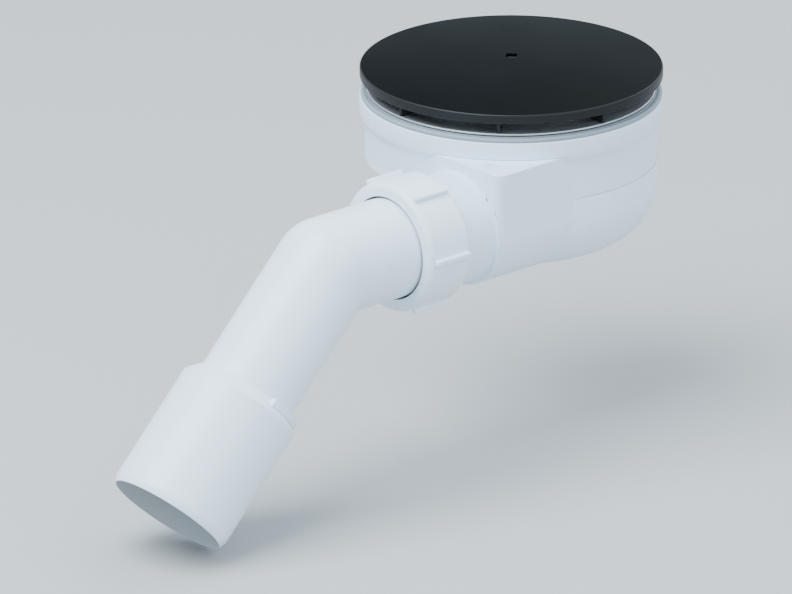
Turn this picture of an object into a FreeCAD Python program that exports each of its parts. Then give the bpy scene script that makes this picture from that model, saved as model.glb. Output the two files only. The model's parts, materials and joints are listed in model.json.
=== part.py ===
import FreeCAD, Part
import os
import re
import Sketcher

# Shower tray trap with a 90 mm clamping flange, a lift-out water seal and a swivelling outlet bend.
# Frame: Z up, X along the outlet, origin on the drain axis in the plane where the tray is clamped.

doc = FreeCAD.newDocument("ShowerTrap")
sheet = doc.addObject("Spreadsheet::Sheet", "sizes")

# Driving dimensions in millimetres and degrees.
SIZES = (
    ("coverRadius", 60.2, "cover, outside radius"),
    ("coverRimHeight", 3.45, "cover, height of its upright rim"),
    ("coverChamfer", 0.35, "cover, chamfer between rim and crown"),
    ("coverCrown", 3.8, "cover, rise of the crown"),
    ("plateThick", 1.2, "cover, sheet thickness"),
    ("coverTurn", 42.4, "cover, angle it happens to lie at"),
    ("recessLength", 5.0, "cover, lifting recess across"),
    ("recessWidth", 4.4, "cover, lifting recess along"),
    ("inletGap", 5.0, "carrier, height of the water's way in under the cover's rim"),
    ("carrierLift", 1.0, "carrier, how far its disc lies above the rim's lower edge"),
    ("carrierThick", 1.4, "carrier, disc thickness"),
    ("carrierBoss", 8.0, "carrier, radius of the boss under the crown"),
    ("carrierGap", 0.4, "carrier, clearance inside the cover's rim"),
    ("finCount", 8, "carrier, number of fins"),
    ("finThick", 1.6, "carrier, fin thickness"),
    ("finInset", 0.3, "carrier, how far the fins end inside the flange's edge"),
    ("finGap", 0.6, "carrier, clearance between fins and clamping sleeve"),
    ("tongueCount", 4, "carrier, number of centring tongues"),
    ("tongueThick", 1.6, "carrier, tongue thickness"),
    ("tongueWidth", 9.0, "carrier, tongue width"),
    ("tongueGap", 0.6, "carrier, clearance between tongues and insert"),
    ("tongueRise", 0.9, "carrier, clearance between tongues and strainer"),
    ("flangeInset", 2.9, "steel flange, how far it ends inside the cover's edge"),
    ("flangeThick", 0.8, "steel flange, sheet thickness"),
    ("flangeLip", 1.2, "steel flange, depth of the lip that is turned down into the hole"),
    ("flangeGap", 0.4, "steel flange, clearance round the clamping sleeve"),
    ("sealThick", 0.4, "flange seal, thickness"),
    ("sealWidth", 7.7, "flange seal, width"),
    ("sealInset", 0.6, "flange seal, how far it lies inside the flange's edge"),
    ("gasketThick", 1.8, "tray gasket, thickness"),
    ("gasketInset", 0.5, "tray gasket, how far it ends inside the lip's edge"),
    ("gasketWidth", 11.3, "tray gasket, width"),
    ("gasketRound", 0.6, "tray gasket, rounding of its outer edges"),
    ("lipRadius", 60.3, "body, radius of the top lip"),
    ("lipHeight", 6.5, "body, height of the top lip"),
    ("lipTaper", 5.0, "body, height of the taper from lip to collar"),
    ("lipStep", 2.1, "body, how far the collar stands inside the lip"),
    ("collarHeight", 25.7, "body, height from the deck to the collar's lower edge"),
    ("collarChamfer", 0.3, "body, chamfer of the collar's lower edge"),
    ("deckThick", 3.2, "body, thickness of the deck under the gasket"),
    ("wall", 2.6, "body, wall thickness"),
    ("sleeveGap", 0.4, "body, clearance round the clamping sleeve"),
    ("boreWall", 2.4, "body, wall round the clamping sleeve"),
    ("boreHeight", 13.2, "body, height of that wall"),
    ("deepStep", 0.15, "body, how far the deep side stands inside the collar"),
    ("deepRound", 22.0, "body, rounding under the deep side"),
    ("shallowStep", 5.0, "body, how far the shallow side stands inside the collar"),
    ("shallowRise", 20.3, "body, height of the shallow side's underside above the sump's"),
    ("shallowRound", 17.0, "body, rounding under the shallow side"),
    ("sumpRound", 8.0, "body, rounding under the central sump"),
    ("rimHeight", 6.5, "body, height of the rim that is welded inside the collar"),
    ("outletOffset", 31.4, "outlet, sideways offset of its axis"),
    ("ductMargin", 1.5, "outlet box, how far its round bottom stands outside the neck"),
    ("ductLift", 0.3, "outlet box, height of its underside above the sump's"),
    ("faceInset", 1.2, "outlet box, how far its face stands inside the collar's radius"),
    ("ductTop", 8.9, "outlet box, depth of its flat top"),
    ("ductCover", 4.3, "outlet box, height of its flat top above the neck"),
    ("ductCorner", 3.5, "outlet box, radius of its upright corner"),
    ("pipeRadius", 20.0, "outlet pipe, outside radius"),
    ("pipeWall", 2.2, "outlet pipe, wall"),
    ("socketGap", 0.35, "outlet neck, clearance round the pipe"),
    ("socketWall", 1.95, "outlet neck, wall of the pipe socket"),
    ("neckLength", 32.0, "outlet neck, length"),
    ("socketShoulder", 1.0, "outlet neck, distance of the socket's shoulder from the box's face"),
    ("threadHeight", 1.4, "outlet neck, height of the thread"),
    ("threadLength", 13.0, "outlet neck, length of the thread"),
    ("threadStop", 1.0, "outlet neck, plain end before the thread"),
    ("threadGap", 0.2, "nut, clearance round the thread"),
    ("mouthFlare", 1.5, "outlet neck, widening and depth of its mouth"),
    ("sealStand", 2.5, "outlet seal, how far it stands out of the mouth"),
    ("nutWall", 2.1, "nut, wall over the thread"),
    ("nutLength", 20.0, "nut, length"),
    ("nutWeb", 1.8, "nut, thickness of the front web"),
    ("nutRound", 2.0, "nut, rounding of the front edge"),
    ("nutHoleGap", 0.6, "nut, clearance round the pipe in the web"),
    ("ribCount", 6, "nut, number of grip ribs"),
    ("ribWidth", 2.4, "nut, rib width"),
    ("ribHeight", 1.9, "nut, rib height"),
    ("washerThick", 1.2, "slip washer, thickness"),
    ("washerGap", 0.3, "slip washer, clearance inside the nut"),
    ("runningGap", 0.05, "clearance of parts that slide or turn on each other"),
    ("pipeStop", 2.0, "elbow, distance of its inner end from the socket's shoulder"),
    ("elbowReach", 38.1, "elbow, distance of the bend from the neck's end"),
    ("elbowAngle", 45.0, "elbow, bend angle"),
    ("legLength", 84.0, "elbow, length of the second leg"),
    ("adapterGrip", 25.6, "adapter, length that is pushed over the pipe"),
    ("adapterStep", 5.0, "adapter, how much wider its radius is than the pipe's"),
    ("adapterCone", 5.0, "adapter, length of the cone"),
    ("adapterLength", 57.2, "adapter, overall length"),
    ("adapterWall", 1.6, "adapter, wall"),
    ("adapterSeat", 7.6, "adapter, length of the seat on the pipe"),
    ("adapterChamferLong", 3.0, "adapter, length of the end chamfer"),
    ("adapterChamferDeep", 1.0, "adapter, depth of the end chamfer"),
    ("adapterGap", 0.2, "adapter, clearance round the pipe"),
    ("catchHeight", 3.5, "adapter, height of the raised catch above the pipe"),
    ("catchLength", 3.2, "adapter, length of the raised catch"),
    ("catchRise", 0.5, "adapter, how far the catch stands above the adapter's top"),
    ("catchAngle", 120.0, "adapter, angle that the catch spans"),
    ("catchTurn", 45.0, "adapter, angle of the catch's middle from the underside"),
    ("ringLength", 7.0, "adapter seal, length"),
    ("ringRelief", 1.2, "adapter seal, clearance between its two lips"),
    ("retainerLength", 3.0, "adapter seal retainer, length"),
    ("retainerGap", 0.6, "adapter seal retainer, clearance round the pipe"),
    ("sleeveRadius", 42.8, "clamping sleeve, outside radius"),
    ("sleeveWall", 2.8, "clamping sleeve, wall"),
    ("sleeveDepth", 14.0, "clamping sleeve, depth below the tray plane"),
    ("sleeveLipWidth", 3.0, "clamping sleeve, width of its lip"),
    ("sleeveLipThick", 1.6, "clamping sleeve, thickness of its lip"),
    ("rebateWidth", 2.2, "clamping sleeve, width of the rebate for the insert"),
    ("rebateDepth", 1.2, "clamping sleeve, depth of the rebate for the insert"),
    ("notchCount", 6, "clamping sleeve, number of key notches"),
    ("notchWidth", 5.0, "clamping sleeve, width of a key notch"),
    ("notchDepth", 1.6, "clamping sleeve, depth of a key notch"),
    ("sleeveSealThick", 0.7, "sleeve seal, thickness"),
    ("sleeveSealGap", 0.1, "sleeve seal, clearance round the sleeve"),
    ("insertRimGap", 0.2, "insert, clearance round its rim"),
    ("insertRimThick", 1.1, "insert, thickness of its rim"),
    ("insertGap", 0.3, "insert, clearance inside the sleeve"),
    ("insertWall", 3.3, "insert, wall of the part with the ring groove"),
    ("ringGrooveTop", 2.9, "insert, depth of the ring groove's upper side"),
    ("ringThick", 1.78, "insert ring, section diameter"),
    ("ringSlack", 0.6, "insert ring, slack along its groove"),
    ("insertFloor", 8.0, "insert, depth of its floor's underside at the edge"),
    ("ledgeDepth", 1.6, "insert, depth of the ledge for the strainer"),
    ("ledgeWall", 1.1, "insert, wall above the ledge"),
    ("dipRadius", 24.0, "insert, dip tube outside radius"),
    ("dipWall", 1.6, "insert, wall of dip tube and floor"),
    ("dipGap", 5.6, "insert, height of the water way under the dip tube"),
    ("skirtWall", 1.6, "insert, wall of the bayonet skirt"),
    ("skirtHeight", 2.5, "insert, height of the bayonet skirt"),
    ("bayonetThick", 1.2, "insert, thickness of the bayonet ledges"),
    ("bayonetAngle", 40.0, "insert, angle that a bayonet ledge spans"),
    ("bayonetCount", 3, "insert and trap cup, number of bayonet ledges and lugs"),
    ("bayonetGap", 0.3, "trap cup, clearance inside the bayonet ledges"),
    ("cupInset", 4.0, "trap cup, water way between it and the sleeve's bore"),
    ("cupWall", 1.8, "trap cup, wall"),
    ("cupDrop", 5.0, "trap cup, height of the overflow between its rim and the insert's skirt"),
    ("cupLift", 3.6, "trap cup, height of its underside above the sump's floor"),
    ("cupRound", 5.0, "trap cup, rounding of its lower edge"),
    ("cupGap", 4.0, "trap cup, water way between it and the sump"),
    ("lugAngle", 30.0, "trap cup, angle that a bayonet lug spans"),
    ("lugThick", 1.1, "trap cup, lug thickness"),
    ("lugGap", 0.1, "trap cup, clearance of the lugs above and below"),
    ("strainerGap", 0.3, "strainer, clearance inside the insert"),
    ("strainerThick", 1.3, "strainer, thickness"),
    ("gripLength", 14.0, "strainer, finger grip length"),
    ("gripThick", 2.0, "strainer, finger grip thickness"),
    ("gripHeight", 4.9, "strainer, finger grip height"),
)

# Radii, heights and distances that follow from the driving dimensions.
RELATED = {
    "flangeTop": "sealThick + flangeThick",
    "flangeRadius": "coverRadius - flangeInset",
    "finOuter": "flangeRadius - finInset",
    "finInner": "sleeveLipRadius + finGap",
    "coverRimLow": "flangeTop + inletGap",
    "coverRimHigh": "coverRimLow + coverRimHeight",
    "coverShoulder": "coverRimHigh + coverChamfer",
    "carrierLow": "coverRimLow + carrierLift",
    "gasketRadius": "lipRadius - gasketInset",
    "gasketInner": "gasketRadius - gasketWidth",
    "collarRadius": "lipRadius - lipStep",
    "collarDepth": "gasketThick + collarHeight",
    "collarInner": "collarRadius - wall",
    "neckBore": "sleeveRadius + sleeveGap",
    "neckDepth": "gasketThick + boreHeight",
    "deepRadius": "collarRadius - deepStep",
    "shallowRadius": "collarRadius - shallowStep",
    "shallowDepth": "bodyDepth - shallowRise",
    "rimInner": "shallowRadius - wall",
    "rimTop": "rimHeight - collarDepth",
    "sumpRadius": "cupRadius + cupGap + wall",
    "neckRadius": "pipeRadius + socketGap + socketWall",
    "ductRadius": "neckRadius + ductMargin",
    "ductSide": "outletOffset - ductRadius",
    "ductFace": "collarRadius - faceInset",
    "outletDrop": "ductTop + ductCover + neckRadius",
    "bodyDepth": "outletDrop + ductRadius + ductLift",
    "neckEnd": "ductFace + neckLength",
    "socketStart": "ductFace + socketShoulder",
    "socketRadius": "pipeRadius + socketGap",
    "threadRadius": "neckRadius + threadHeight",
    "threadStart": "neckEnd - threadStop - threadLength",
    "washerStart": "neckEnd + sealStand",
    "nutEnd": "washerStart + washerThick + nutWeb",
    "nutStart": "nutEnd - nutLength",
    "nutBore": "threadRadius + threadGap",
    "nutRadius": "nutBore + nutWall",
    "nutHole": "pipeRadius + nutHoleGap",
    "pipeStart": "socketStart + pipeStop",
    "elbowVertex": "neckEnd + elbowReach",
    "adapterStart": "legLength - adapterGrip",
    "adapterEnd": "adapterStart + adapterLength",
    "adapterRadius": "pipeRadius + adapterStep",
    "adapterInner": "adapterRadius - adapterWall",
    "seatEnd": "adapterStart + adapterSeat",
    "ringEnd": "seatEnd + ringLength",
    "sleeveBore": "sleeveRadius - sleeveWall",
    "sleeveLipRadius": "sleeveRadius + sleeveLipWidth",
    "sleeveSeat": "flangeTop + sleeveSealThick",
    "sleeveTop": "sleeveSeat + sleeveLipThick",
    "rebateRadius": "sleeveBore + rebateWidth",
    "rebateLow": "sleeveTop - rebateDepth",
    "insertOuter": "sleeveBore - insertGap",
    "insertInner": "insertOuter - insertWall",
    "insertRimRadius": "rebateRadius - insertRimGap",
    "ringGrooveFloor": "sleeveBore - runningGap - ringThick",
    "ringGrooveLow": "ringGrooveTop + ringThick + ringSlack",
    "ledgeRadius": "insertOuter - ledgeWall",
    "strainerRadius": "ledgeRadius - strainerGap",
    "strainerTop": "strainerThick - ledgeDepth",
    "cupRadius": "sleeveBore - cupInset",
    "cupInner": "cupRadius - cupWall",
    "skirtDepth": "insertFloor + skirtHeight",
    "skirtInner": "insertOuter - skirtWall",
    "bayonetInner": "cupRadius + bayonetGap",
    "lugReach": "skirtInner - 2 * lugGap",
    "lugLow": "bayonetThick + lugGap - skirtDepth",
    "cupRim": "skirtDepth + cupDrop",
    "cupDepth": "bodyDepth - wall - cupLift",
    "dipDepth": "cupDepth - cupWall - dipGap",
}
for row, (alias, amount, note) in enumerate(SIZES, 1):
    sheet.set("A%d" % row, alias)
    sheet.set("B%d" % row, str(amount))
    sheet.set("C%d" % row, note)
    sheet.setAlias("B%d" % row, alias)
doc.recompute()

ALIASES = {alias for alias, amount, note in SIZES}
WORD = re.compile(r"[A-Za-z]\w*")
EMBED = 0.4   # how far an added rib is sunk into what it stands on
BEYOND = 2.0  # how far a cutting tool reaches past what it cuts


def spelled(word):
    """A name's cell in the sheet, or the expression that it stands for."""
    name = word.group()
    if name in RELATED:
        return "(" + bound(RELATED[name]) + ")"
    return "sizes." + name if name in ALIASES else name


def bound(text):
    """Expression with its names written as cells of the sheet."""
    return WORD.sub(spelled, text)


def number(text):
    """Present value of an expression, in millimetres."""
    return float(sheet.evalExpression(bound(text)))


def bind(item, **texts):
    """Bind properties of an object to expressions."""
    for name, text in texts.items():
        item.setExpression(name, bound(text))


def place(item, x="0", y="0", z="0", axis=(0, 0, 1), angle="0", spin="0"):
    """Put an object at a bound place: spun about its own Z axis, then tilted about a fixed axis."""
    tilt = FreeCAD.Rotation(FreeCAD.Vector(*axis), number(angle))
    own = FreeCAD.Rotation(FreeCAD.Vector(0, 0, 1), number(spin))
    item.Placement = FreeCAD.Placement(FreeCAD.Vector(), tilt.multiply(own))
    for letter, text in (("x", x), ("y", y), ("z", z)):
        item.setExpression("Placement.Base." + letter, bound(text))
    if angle != "0" and spin == "0":
        item.setExpression("Placement.Rotation.Angle", "(%s) * 1 deg" % bound(angle))
    return item


def primitive(kind, name, **texts):
    """Part primitive whose sizes are bound."""
    item = doc.addObject("Part::" + kind, name)
    bind(item, **texts)
    return item


def joined(name, items):
    """Union of several objects."""
    item = doc.addObject("Part::MultiFuse", name)
    item.Shapes = items
    item.Refine = True
    return item


def combined(kind, name, base, tool):
    """Part::Cut or Part::Common of two objects."""
    item = doc.addObject("Part::" + kind, name)
    item.Base = base
    item.Tool = tool
    item.Refine = True
    return item


def originFeature(body, role):
    """Origin plane or axis of a body."""
    return next(item for item in body.Origin.OriginFeatures if item.Role == role)


def arc(start, end, radius):
    """Arc from start to end, counterclockwise for a positive radius."""
    chord = end - start
    left = FreeCAD.Vector(-chord.y, chord.x, 0).normalize()
    rise = max(radius * radius - chord.Length ** 2 / 4, 0) ** 0.5
    centre = (start + end) * 0.5 + left * (rise if radius > 0 else -rise)
    first, last = (start, end) if radius > 0 else (end, start)
    circle = Part.Circle(centre, FreeCAD.Vector(0, 0, 1), abs(radius))
    return Part.ArcOfCircle(circle, circle.parameter(first), circle.parameter(last))


def outline(body, name, plane, points):
    """Closed sketch through bound points; a third entry makes the stretch that ends there an arc
    of that radius, negative where it runs clockwise."""
    sketch = body.newObject("Sketcher::SketchObject", name)
    sketch.AttachmentSupport = (originFeature(body, plane), [""])
    sketch.MapMode = "FlatFace"
    spots = [FreeCAD.Vector(number(point[0]), number(point[1]), 0) for point in points]
    ends = []
    radii = []
    for index in range(len(points)):
        following = (index + 1) % len(points)
        start, end = spots[index], spots[following]
        if len(points[following]) == 2:
            sketch.addGeometry(Part.LineSegment(start, end))
            ends.append((1, 2))
        else:
            radius = number(points[following][2])
            sketch.addGeometry(arc(start, end, radius))
            ends.append((1, 2) if radius > 0 else (2, 1))
            radii.append((index, points[following][2], radius))
    for index, point in enumerate(points):
        before = index - 1 if index else len(points) - 1
        corner = ends[index][0]
        sketch.addConstraint(Sketcher.Constraint("Coincident", before, ends[before][1], index, corner))
        for kind, text, amount, line in (("DistanceX", point[0], spots[index].x, -2),
                                         ("DistanceY", point[1], spots[index].y, -1)):
            if text == "0":
                sketch.addConstraint(Sketcher.Constraint("PointOnObject", index, corner, line))
            else:
                rule = sketch.addConstraint(Sketcher.Constraint(kind, -1, 1, index, corner, amount))
                sketch.setExpression("Constraints[%d]" % rule, bound(text))
    for index, text, radius in radii:
        rule = sketch.addConstraint(Sketcher.Constraint("Radius", index, abs(radius)))
        sketch.setExpression("Constraints[%d]" % rule, "abs(" + bound(text) + ")")
    return sketch


def turned(name, points):
    """Body spun about its Z axis from an outline of radius and height."""
    body = doc.addObject("PartDesign::Body", name)
    sketch = outline(body, name + "Outline", "XZ_Plane", points)
    turn = body.newObject("PartDesign::Revolution", name + "Turn")
    turn.Profile = sketch
    turn.ReferenceAxis = (sketch, ["V_Axis"])
    turn.Angle = 360
    doc.recompute()
    return body


def padded(body, name, points, low, high):
    """Outline in the XY plane, raised from one height to another and added to the body."""
    sketch = outline(body, name + "Outline", "XY_Plane", points)
    sketch.setExpression("AttachmentOffset.Base.z", bound(low))
    pad = body.newObject("PartDesign::Pad", name)
    pad.Profile = sketch
    bind(pad, Length="(%s) - (%s)" % (high, low))
    doc.recompute()
    return pad


def block(body, kind, name, length, width, height, x, y, z):
    """Box added to a body or taken from it."""
    item = body.newObject("PartDesign::" + kind + "Box", name)
    bind(item, Length=length, Width=width, Height=height)
    place(item, x, y, z)
    doc.recompute()
    return item


def repeated(body, name, feature, count):
    """Feature repeated round the body's Z axis."""
    pattern = body.newObject("PartDesign::PolarPattern", name)
    pattern.Originals = [feature]
    pattern.Axis = (originFeature(body, "Z_Axis"), [""])
    pattern.Angle = 360
    bind(pattern, Occurrences=count)
    body.Tip = pattern
    doc.recompute()
    return pattern


def ringSector(inner, outer, angle):
    """Corners of a ring segment that is centred on the X axis."""
    half = "((%s) / 2 * 1 deg)" % angle
    spot = "(%s) * cos%s"
    rise = "(%s) * sin%s"
    return [(spot % (inner, half), "-" + rise % (inner, half), "-(%s)" % inner),
            (spot % (outer, half), "-" + rise % (outer, half)),
            (spot % (outer, half), rise % (outer, half), outer),
            (spot % (inner, half), rise % (inner, half))]


def alongOutlet(item, distance, spin="0"):
    """Lay an object that is built about Z along the outlet axis."""
    return place(item, distance, "outletOffset", "-outletDrop", (0, 1, 0), "90", spin)


def alongLeg(item, spin="0"):
    """Lay an object that is built about Z along the elbow's second leg, from the bend."""
    return place(item, "elbowVertex", "outletOffset", "-outletDrop", (0, 1, 0), "90 + elbowAngle", spin)


def crownRadius(reach):
    """Radius of the crown's arc over a reach from the axis."""
    return "(((%s)^2 + coverCrown^2) / (2 * coverCrown))" % reach


def makeCoverPlate():
    """Black sheet cap with a low crown and a small rectangular lifting recess."""
    inner = "coverRadius - plateThick"
    edge = "coverRadius - coverChamfer"
    body = turned("cover_plate", [
        ("0", "coverShoulder + coverCrown - plateThick", crownRadius(inner)),
        ("0", "coverShoulder + coverCrown"), (edge, "coverShoulder", "-" + crownRadius(edge)),
        ("coverRadius", "coverRimHigh"), ("coverRadius", "coverRimLow"), (inner, "coverRimLow"),
        (inner, "coverShoulder - plateThick")])
    block(body, "Subtractive", "liftingRecess", "recessLength", "recessWidth", "coverShoulder + coverCrown",
          "-recessLength / 2", "-recessWidth / 2", "coverRimLow")
    return place(body, angle="coverTurn")


def makeCoverCarrier():
    """Moulded disc under the cap, with fins that stand on the flange and tongues that centre it."""
    top = "carrierLow + carrierThick"
    discRadius = "coverRadius - plateThick - carrierGap"
    bossTop = "coverShoulder + coverCrown - plateThick - 2 * runningGap"
    body = turned("cover_carrier", [
        ("0", "carrierLow"), (discRadius, "carrierLow"), (discRadius, top),
        ("carrierBoss", top), ("carrierBoss", bossTop), ("0", bossTop)])
    fin = block(body, "Additive", "fin", "finOuter - finInner", "finThick",
                "carrierLow - flangeTop + %g" % EMBED, "finInner", "-finThick / 2", "flangeTop")
    repeated(body, "fins", fin, "finCount")
    tongueLow = "(strainerTop + tongueRise)"
    tongue = block(body, "Additive", "tongue", "tongueThick", "tongueWidth",
                   "carrierLow - %s + %g" % (tongueLow, EMBED),
                   "ledgeRadius - tongueGap - tongueThick", "-tongueWidth / 2", tongueLow)
    repeated(body, "tongues", tongue, "tongueCount")
    return place(body, angle="coverTurn")


def makeStrainer():
    """Hair strainer: a sieve disc on the insert's ledge, with a finger grip."""
    body = turned("hair_strainer", [
        ("0", "-ledgeDepth"), ("strainerRadius", "-ledgeDepth"), ("strainerRadius", "strainerTop"),
        ("0", "strainerTop")])
    # Rings of holes: radius of the ring as a share of the disc, number of holes, radius of a hole.
    for share, count, hole in ((0.32, 8, 2.2), (0.53, 14, 2.4), (0.76, 20, 2.6)):
        cut = body.newObject("PartDesign::SubtractiveCylinder", "hole%d" % count)
        bind(cut, Radius=str(hole), Height="strainerThick + 2 * %g" % BEYOND)
        place(cut, x="strainerRadius * %g" % share, z="-ledgeDepth - %g" % BEYOND)
        doc.recompute()
        repeated(body, "holes%d" % count, cut, str(count))
    block(body, "Additive", "grip", "gripLength", "gripThick", "gripHeight + %g" % EMBED,
          "-gripLength / 2", "-gripThick / 2", "strainerTop - %g" % EMBED)
    return body


def makeSteelFlange():
    """Flat stainless ring with a lip turned down into the tray's hole."""
    inner = "sleeveRadius + flangeGap"
    lipLow = "sealThick - flangeLip"
    return turned("steel_flange", [
        (inner, lipLow), (inner + " + flangeThick", lipLow), (inner + " + flangeThick", "sealThick"),
        ("flangeRadius", "sealThick"), ("flangeRadius", "flangeTop"), (inner, "flangeTop")])


def makeFlangeSeal():
    """Thin seal between the flange and the tray."""
    outer = "flangeRadius - sealInset"
    inner = outer + " - sealWidth"
    return turned("flange_seal", [(inner, "0"), (outer, "0"), (outer, "sealThick"), (inner, "sealThick")])


def makeTrayGasket():
    """Rubber gasket between the tray and the body's lip."""
    flank = "gasketRadius - gasketRound"
    return turned("tray_gasket", [
        ("gasketInner", "-gasketThick"), (flank, "-gasketThick"),
        ("gasketRadius", "gasketRound - gasketThick", "gasketRound"),
        ("gasketRadius", "-gasketRound"), (flank, "0", "gasketRound"), ("gasketInner", "0")])


def makeClampSleeve():
    """Threaded sleeve that clamps the flange; its lip has notches for a key."""
    body = turned("clamp_sleeve", [
        ("sleeveBore", "-sleeveDepth"), ("sleeveRadius", "-sleeveDepth"), ("sleeveRadius", "sleeveSeat"),
        ("sleeveLipRadius", "sleeveSeat"), ("sleeveLipRadius", "sleeveTop"), ("rebateRadius", "sleeveTop"),
        ("rebateRadius", "rebateLow"), ("sleeveBore", "rebateLow")])
    notch = block(body, "Subtractive", "notch", "notchDepth + %g" % BEYOND, "notchWidth",
                  "sleeveLipThick + 2 * %g" % BEYOND, "sleeveLipRadius - notchDepth", "-notchWidth / 2",
                  "sleeveSeat - %g" % BEYOND)
    repeated(body, "notches", notch, "notchCount")
    return body


def makeSleeveSeal():
    """Flat ring under the sleeve's lip."""
    inner = "sleeveRadius + sleeveSealGap"
    outer = "sleeveLipRadius - notchDepth"
    return turned("sleeve_seal", [
        (inner, "flangeTop"), (outer, "flangeTop"), (outer, "sleeveSeat"), (inner, "sleeveSeat")])


def makeInsert():
    """Lift-out inlet with the dip tube, a ring groove and a bayonet skirt for the cup."""
    rimTop = "rebateLow + insertRimThick"
    dipInner = "dipRadius - dipWall"
    body = turned("dip_insert", [
        ("ledgeRadius", rimTop), ("ledgeRadius", "-ledgeDepth"), ("insertInner", "-ledgeDepth"),
        ("insertInner", "dipWall - insertFloor"), (dipInner + " + 2", "-insertFloor"),
        (dipInner, "-insertFloor - 2"), (dipInner, "-dipDepth"), ("dipRadius", "-dipDepth"),
        ("dipRadius", "-insertFloor - dipWall"), ("cupInner - bayonetGap - %g" % EMBED, "-insertFloor"),
        ("skirtInner", "-insertFloor"), ("skirtInner", "-skirtDepth"), ("insertOuter", "-skirtDepth"),
        ("insertOuter", "-ringGrooveLow"), ("ringGrooveFloor", "-ringGrooveLow"),
        ("ringGrooveFloor", "-ringGrooveTop"), ("insertOuter", "-ringGrooveTop"), ("insertOuter", "rebateLow"),
        ("insertRimRadius", "rebateLow"), ("insertRimRadius", rimTop)])
    ledge = padded(body, "bayonetLedge", ringSector("bayonetInner", "skirtInner + %g" % EMBED, "bayonetAngle"),
                   "-skirtDepth", "bayonetThick - skirtDepth")
    repeated(body, "bayonetLedges", ledge, "bayonetCount")
    return body


def makeInsertRing():
    """Rubber ring in the insert's groove."""
    ring = primitive("Torus", "insert_ring", Radius1="sleeveBore - runningGap - ringThick / 2",
                     Radius2="ringThick / 2")
    return place(ring, z="-(ringGrooveTop + ringGrooveLow) / 2")


def makeTrapCup():
    """Cup that holds the water seal; its lugs hang on the insert's bayonet ledges."""
    body = turned("trap_cup", [
        ("0", "-cupDepth"), ("cupRadius - cupRound", "-cupDepth"),
        ("cupRadius", "cupRound - cupDepth", "cupRound"), ("cupRadius", "-cupRim"), ("cupInner", "-cupRim"),
        ("cupInner", "cupRound - cupDepth"),
        ("cupRadius - cupRound", "cupWall - cupDepth", "-(cupRound - cupWall)"), ("0", "cupWall - cupDepth")])
    ear = padded(body, "ear", ringSector("cupInner", "cupRadius", "lugAngle"),
                 "-cupRim - %g" % EMBED, "lugLow + lugThick")
    repeated(body, "ears", ear, "bayonetCount")
    lug = padded(body, "lug", ringSector("cupRadius - %g" % EMBED, "lugReach", "lugAngle"),
                 "lugLow", "lugLow + lugThick")
    repeated(body, "lugs", lug, "bayonetCount")
    return body


def makeChamber(prefix, inset, top, deepTop):
    """Solids of the lower body, drawn in by an inset: deep side, shallow side and central sump."""
    floor = "-(bodyDepth - %s)" % inset
    deepOuter = "deepRadius - " + inset
    deep = turned(prefix + "Deep", [
        ("0", deepTop), (deepOuter, deepTop), (deepOuter, "deepRound - bodyDepth"),
        ("deepRadius - deepRound", floor, "-(deepRound - %s)" % inset), ("0", floor)])
    half = primitive("Box", prefix + "Half", Length="4 * deepRadius", Width="2 * deepRadius",
                     Height="2 * bodyDepth")
    place(half, "-2 * deepRadius", "ductSide + " + inset, "-1.5 * bodyDepth")
    shallowOuter = "shallowRadius - " + inset
    shallowFloor = "-(shallowDepth - %s)" % inset
    shallow = turned(prefix + "Shallow", [
        ("0", top), (shallowOuter, top), (shallowOuter, "shallowRound - shallowDepth"),
        ("shallowRadius - shallowRound", shallowFloor, "-(shallowRound - %s)" % inset), ("0", shallowFloor)])
    sumpOuter = "sumpRadius - " + inset
    sump = turned(prefix + "Sump", [
        ("0", top), (sumpOuter, top), (sumpOuter, "sumpRound - bodyDepth"),
        ("sumpRadius - sumpRound", floor, "-(sumpRound - %s)" % inset), ("0", floor)])
    return [combined("Common", prefix + "DeepSide", deep, half), shallow, sump]


def makeDuct(prefix, inset):
    """Outlet box with a flat top, a rounded upright corner and a half-round bottom."""
    near = "ductSide + " + inset
    far = "outletOffset + ductRadius - " + inset
    face = "ductFace - " + inset
    corner = "(ductCorner - %s / 2)" % inset
    box = doc.addObject("PartDesign::Body", prefix + "Box")
    padded(box, prefix + "BoxPad", [
        ("0", near), (face, near), (face, far + " - " + corner), (face + " - " + corner, far, corner),
        ("0", far)], "-outletDrop", "-ductTop - " + inset)
    bottom = primitive("Cylinder", prefix + "Bottom", Radius="ductRadius - " + inset, Height=face)
    alongOutlet(bottom, "0")
    return joined(prefix, [box, bottom])


def makeOutletNeck():
    """Outlet neck with the band that carries the thread."""
    neck = turned("neckOutside", [
        ("0", "ductFace - wall"), ("neckRadius", "ductFace - wall"), ("neckRadius", "threadStart"),
        ("threadRadius", "threadStart"), ("threadRadius", "neckEnd - threadStop"),
        ("neckRadius", "neckEnd - threadStop"), ("neckRadius", "neckEnd"), ("0", "neckEnd")])
    return alongOutlet(neck, "0")


def makeOutletBore():
    """Space inside the neck: passage, pipe socket and flared mouth for the seal."""
    passage = "pipeRadius - pipeWall"
    start = "ductFace - wall - %g" % BEYOND
    end = "neckEnd + %g" % BEYOND
    bore = turned("neckInside", [
        ("0", start), (passage, start), (passage, "socketStart"), ("socketRadius", "socketStart"),
        ("socketRadius", "neckEnd - mouthFlare"), ("socketRadius + mouthFlare", "neckEnd"),
        ("socketRadius + mouthFlare", end), ("0", end)])
    return alongOutlet(bore, "0")


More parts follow.
